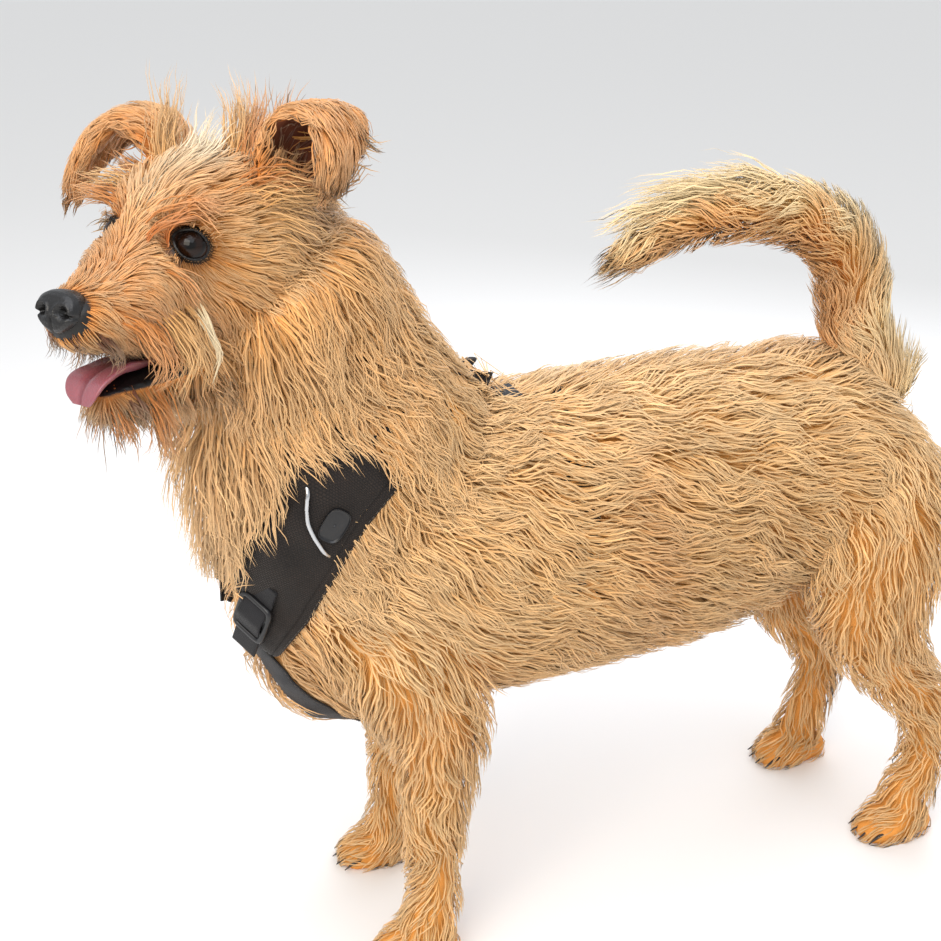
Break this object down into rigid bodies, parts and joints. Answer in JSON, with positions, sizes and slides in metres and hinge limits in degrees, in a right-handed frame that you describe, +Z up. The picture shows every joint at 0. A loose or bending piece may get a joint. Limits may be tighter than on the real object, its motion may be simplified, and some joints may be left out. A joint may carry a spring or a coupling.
{
  "type": "rough-coated terrier dog model",
  "caption": "Life-size standing terrier with rough golden coat, head turned to its left, open mouth, folded ears, tail curled over the back, and a padded walking harness.",
  "frame": {"origin": "middle of the outline's bottom, on the floor under the soles", "axes": "the dog faces -X and its left side is -Y, +Z up"},
  "size_m": [0.613, 0.1966, 0.5611],
  "materials": {
    "golden_coat": "rough wavy hair",
    "cream_coat": "long wispy hair",
    "ginger_coat": "rough hair",
    "nose_leather": "moist, finely grained",
    "claw": "dark horn",
    "eye": "wet gloss",
    "tongue": "moist",
    "mesh_padding": "padded mesh",
    "webbing": "woven",
    "black_plastic": "satin",
    "steel": "bright"
  },
  "bodies": {
    "root": {"trunk": "golden_coat", "neck": "golden_coat", "fore_leg_left": "golden_coat", "fore_leg_right": "golden_coat", "hind_leg_left": "golden_coat", "hind_leg_right": "golden_coat", "fore_paw_left": "golden_coat", "fore_paw_right": "golden_coat", "hind_paw_left": "golden_coat", "hind_paw_right": "golden_coat", "tail_base": "golden_coat", "tail_middle": "cream_coat", "tail_tip": "cream_coat", "skull": "ginger_coat", "jaw": "ginger_coat", "ear_left": "ginger_coat", "ear_right": "ginger_coat", "nose": "nose_leather", "eye_left": "eye", "eye_right": "eye", "tongue": "tongue", "harness_shoulder_pad_left": "mesh_padding", "harness_shoulder_pad_right": "mesh_padding", "harness_girth_strap": "webbing", "harness_chest_strap": "webbing", "harness_back_strap": "webbing", "harness_adjuster_left": "black_plastic", "harness_adjuster_right": "black_plastic", "harness_ring_left": "steel", "harness_ring_right": "steel"}
  },
  "joints": []
}
